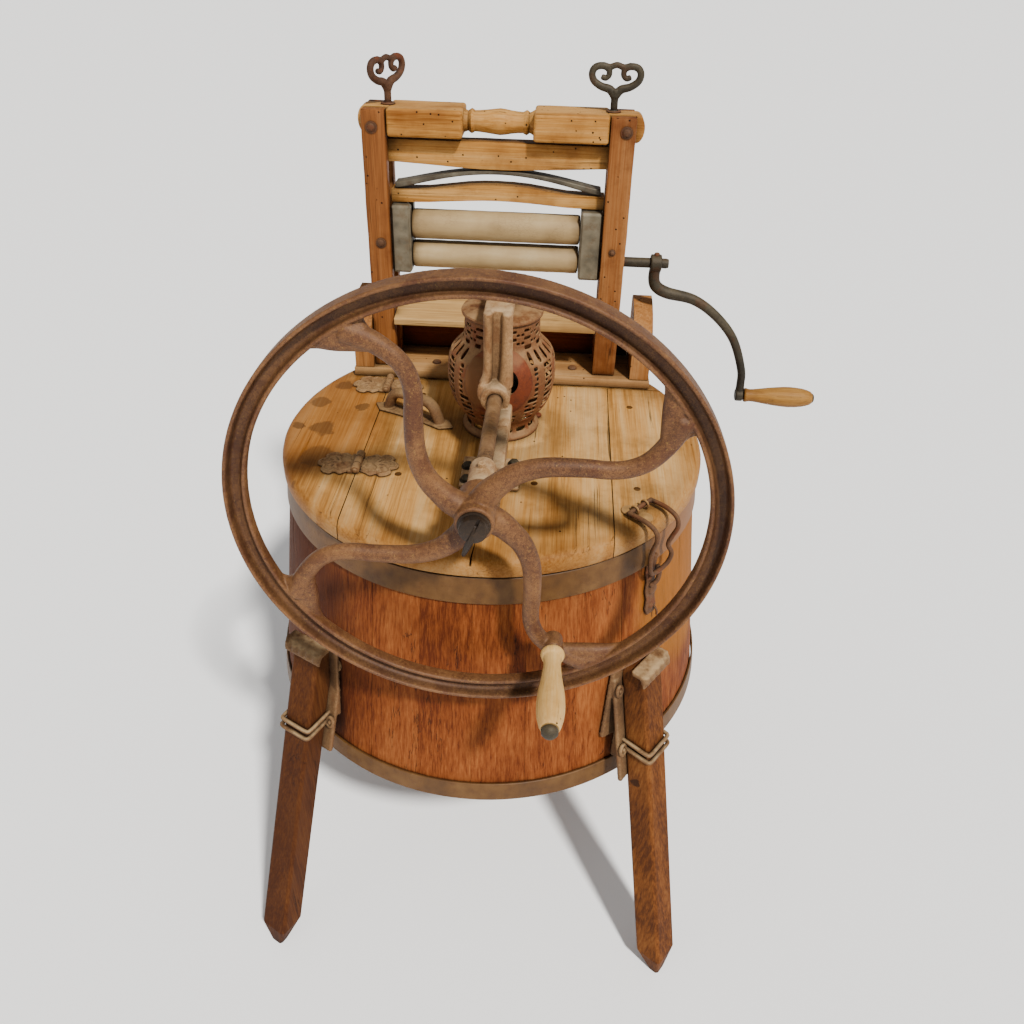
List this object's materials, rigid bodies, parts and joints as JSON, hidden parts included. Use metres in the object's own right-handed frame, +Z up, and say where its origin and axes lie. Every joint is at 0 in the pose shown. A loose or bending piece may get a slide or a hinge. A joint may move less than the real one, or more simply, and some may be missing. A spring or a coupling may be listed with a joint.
{
  "type": "hand washing machine with mangle",
  "caption": "Round wooden tub washing machine on splayed legs, hand-driven by a large flywheel through a geared agitator in its lid, with a screw-down roller mangle and side crank.",
  "frame": {"origin": "on the floor, on the vertical axis of the tub", "axes": "+Z up, -Y towards the flywheel at the front, +Y towards the mangle at the rear, +X towards the mangle's crank"},
  "size_m": [0.8975, 0.9546, 1.2091],
  "materials": {
    "stave_wood": "worn varnish over red-brown softwood staves",
    "lid_wood": "bare honey pine, stained and scratched",
    "leg_wood": "old brown varnish",
    "frame_wood": "worn orange-brown beech with worm holes",
    "grip_wood": "hand-polished pale hardwood",
    "hoop_steel": "tarnished galvanised band",
    "rusty_iron": "fine even rust",
    "drive_iron": "dusty tan rust",
    "case_iron": "dusty red-brown paint over cast iron",
    "crank_iron": "dark oiled iron",
    "galvanised": "dull grey-green galvanised plate",
    "roller_rubber": "aged cream rubber"
  },
  "bodies": {
    "tub": {"tub_staves": "stave_wood", "tub_floor": "stave_wood", "hoop_top": "hoop_steel", "hoop_bottom": "hoop_steel", "leg_fl": "leg_wood", "leg_fr": "leg_wood", "leg_rl": "leg_wood", "leg_rr": "leg_wood", "leg_iron_fl": "rusty_iron", "leg_iron_fr": "rusty_iron", "leg_iron_rl": "rusty_iron", "leg_iron_rr": "rusty_iron", "lid_fixed_boards": "lid_wood", "platform_board": "frame_wood", "cheek_left": "frame_wood", "cheek_right": "frame_wood", "back_board": "frame_wood", "hinge_fixed_front": "rusty_iron", "hinge_fixed_rear": "rusty_iron", "latch_hook": "rusty_iron", "upright_front_left": "frame_wood", "upright_front_right": "frame_wood", "upright_rear_left": "frame_wood", "upright_rear_right": "frame_wood", "top_rail": "frame_wood", "drip_board": "lid_wood", "bearing_left": "galvanised", "bearing_right": "galvanised"},
    "lid": {"lid_board_main": "lid_wood", "lid_board_right": "lid_wood", "lid_batten_front": "lid_wood", "lid_batten_rear": "lid_wood", "lid_handle": "rusty_iron", "hinge_moving_front": "rusty_iron", "hinge_moving_rear": "rusty_iron", "gear_casing": "case_iron", "casing_cover": "case_iron", "casing_cap": "case_iron", "drive_bracket": "drive_iron", "latch_plate": "rusty_iron"},
    "drive_wheel": {"flywheel": "rusty_iron", "axle": "drive_iron", "bevel_pinion": "crank_iron", "grip_bolt": "crank_iron"},
    "wheel_grip": {"wheel_grip": "grip_wood"},
    "agitator": {"agitator_spindle": "drive_iron", "crown_gear": "crank_iron", "agitator_dolly": "frame_wood"},
    "bail": {"latch_bail": "rusty_iron"},
    "pressure": {"pressure_bar": "frame_wood"},
    "screw_left": {"screw_left": "crank_iron"},
    "screw_right": {"screw_right": "crank_iron"},
    "carriage": {"spring_bar": "frame_wood", "leaf_spring": "galvanised"},
    "upper_roller": {"upper_roller": "roller_rubber"},
    "lower_roller": {"lower_roller": "roller_rubber", "crank_shaft": "crank_iron", "crank_arm": "crank_iron"},
    "crank_grip": {"crank_grip": "grip_wood"}
  },
  "joints": [
    {"name": "lid_hinge", "type": "hinge", "parent": "tub", "child": "lid", "pos_m": [-0.1858, 0, 0.7117], "axis": [0, -1, 0], "range_deg": [0, 95]},
    {"name": "axle_spin", "type": "hinge", "parent": "lid", "child": "drive_wheel", "pos_m": [0.01, -0.365, 0.818], "axis": [0, 1, 0], "continuous": true},
    {"name": "wheel_grip_spin", "type": "hinge", "parent": "drive_wheel", "child": "wheel_grip", "pos_m": [0.10638, -0.45, 0.62469], "axis": [0, 1, 0], "continuous": true},
    {"name": "agitator_spin", "type": "hinge", "parent": "lid", "child": "agitator", "pos_m": [0.01, 0.024, 0.78], "axis": [0, 0, 1], "continuous": true},
    {"name": "bail_swing", "type": "hinge", "parent": "lid", "child": "bail", "pos_m": [0.21551, -0.19405, 0.714], "axis": [-0.6691, -0.7431, 0], "range_deg": [0, 120]},
    {"name": "pressure_slide", "type": "slide", "parent": "tub", "child": "pressure", "axis": [0, 0, 1], "range_m": [-0.0081, 0], "deforming": ["leaf_spring"]},
    {"name": "screw_left_turn", "type": "hinge", "parent": "pressure", "child": "screw_left", "pos_m": [-0.179, 0.206, 1.15], "axis": [0, 0, 1], "range_deg": [-720, 0]},
    {"name": "screw_right_turn", "type": "hinge", "parent": "pressure", "child": "screw_right", "pos_m": [0.157, 0.206, 1.15], "axis": [0, 0, 1], "range_deg": [-721, 0]},
    {"name": "carriage_lift", "type": "slide", "parent": "tub", "child": "carriage", "axis": [0, 0, 1], "range_m": [0, 0.006], "stiffness_N_per_m": 2000, "springref_m": -0.004},
    {"name": "upper_roll", "type": "hinge", "parent": "carriage", "child": "upper_roller", "pos_m": [-0.015, 0.206, 0.96], "axis": [1, 0, 0], "continuous": true},
    {"name": "crank_turn", "type": "hinge", "parent": "tub", "child": "lower_roller", "pos_m": [-0.015, 0.206, 0.911], "axis": [1, 0, 0], "continuous": true},
    {"name": "crank_grip_spin", "type": "hinge", "parent": "lower_roller", "child": "crank_grip", "pos_m": [0.48, 0.206, 0.68], "axis": [1, 0, 0], "continuous": true}
  ],
  "couplings": [
    {"joint": "agitator_spin", "follows": "axle_spin", "ratio": -0.45},
    {"joint": "pressure_slide", "follows": "screw_left_turn", "m_per_rad": 0.00063662},
    {"joint": "screw_right_turn", "follows": "screw_left_turn", "ratio": 1},
    {"joint": "upper_roll", "follows": "crank_turn", "ratio": -0.936}
  ]
}
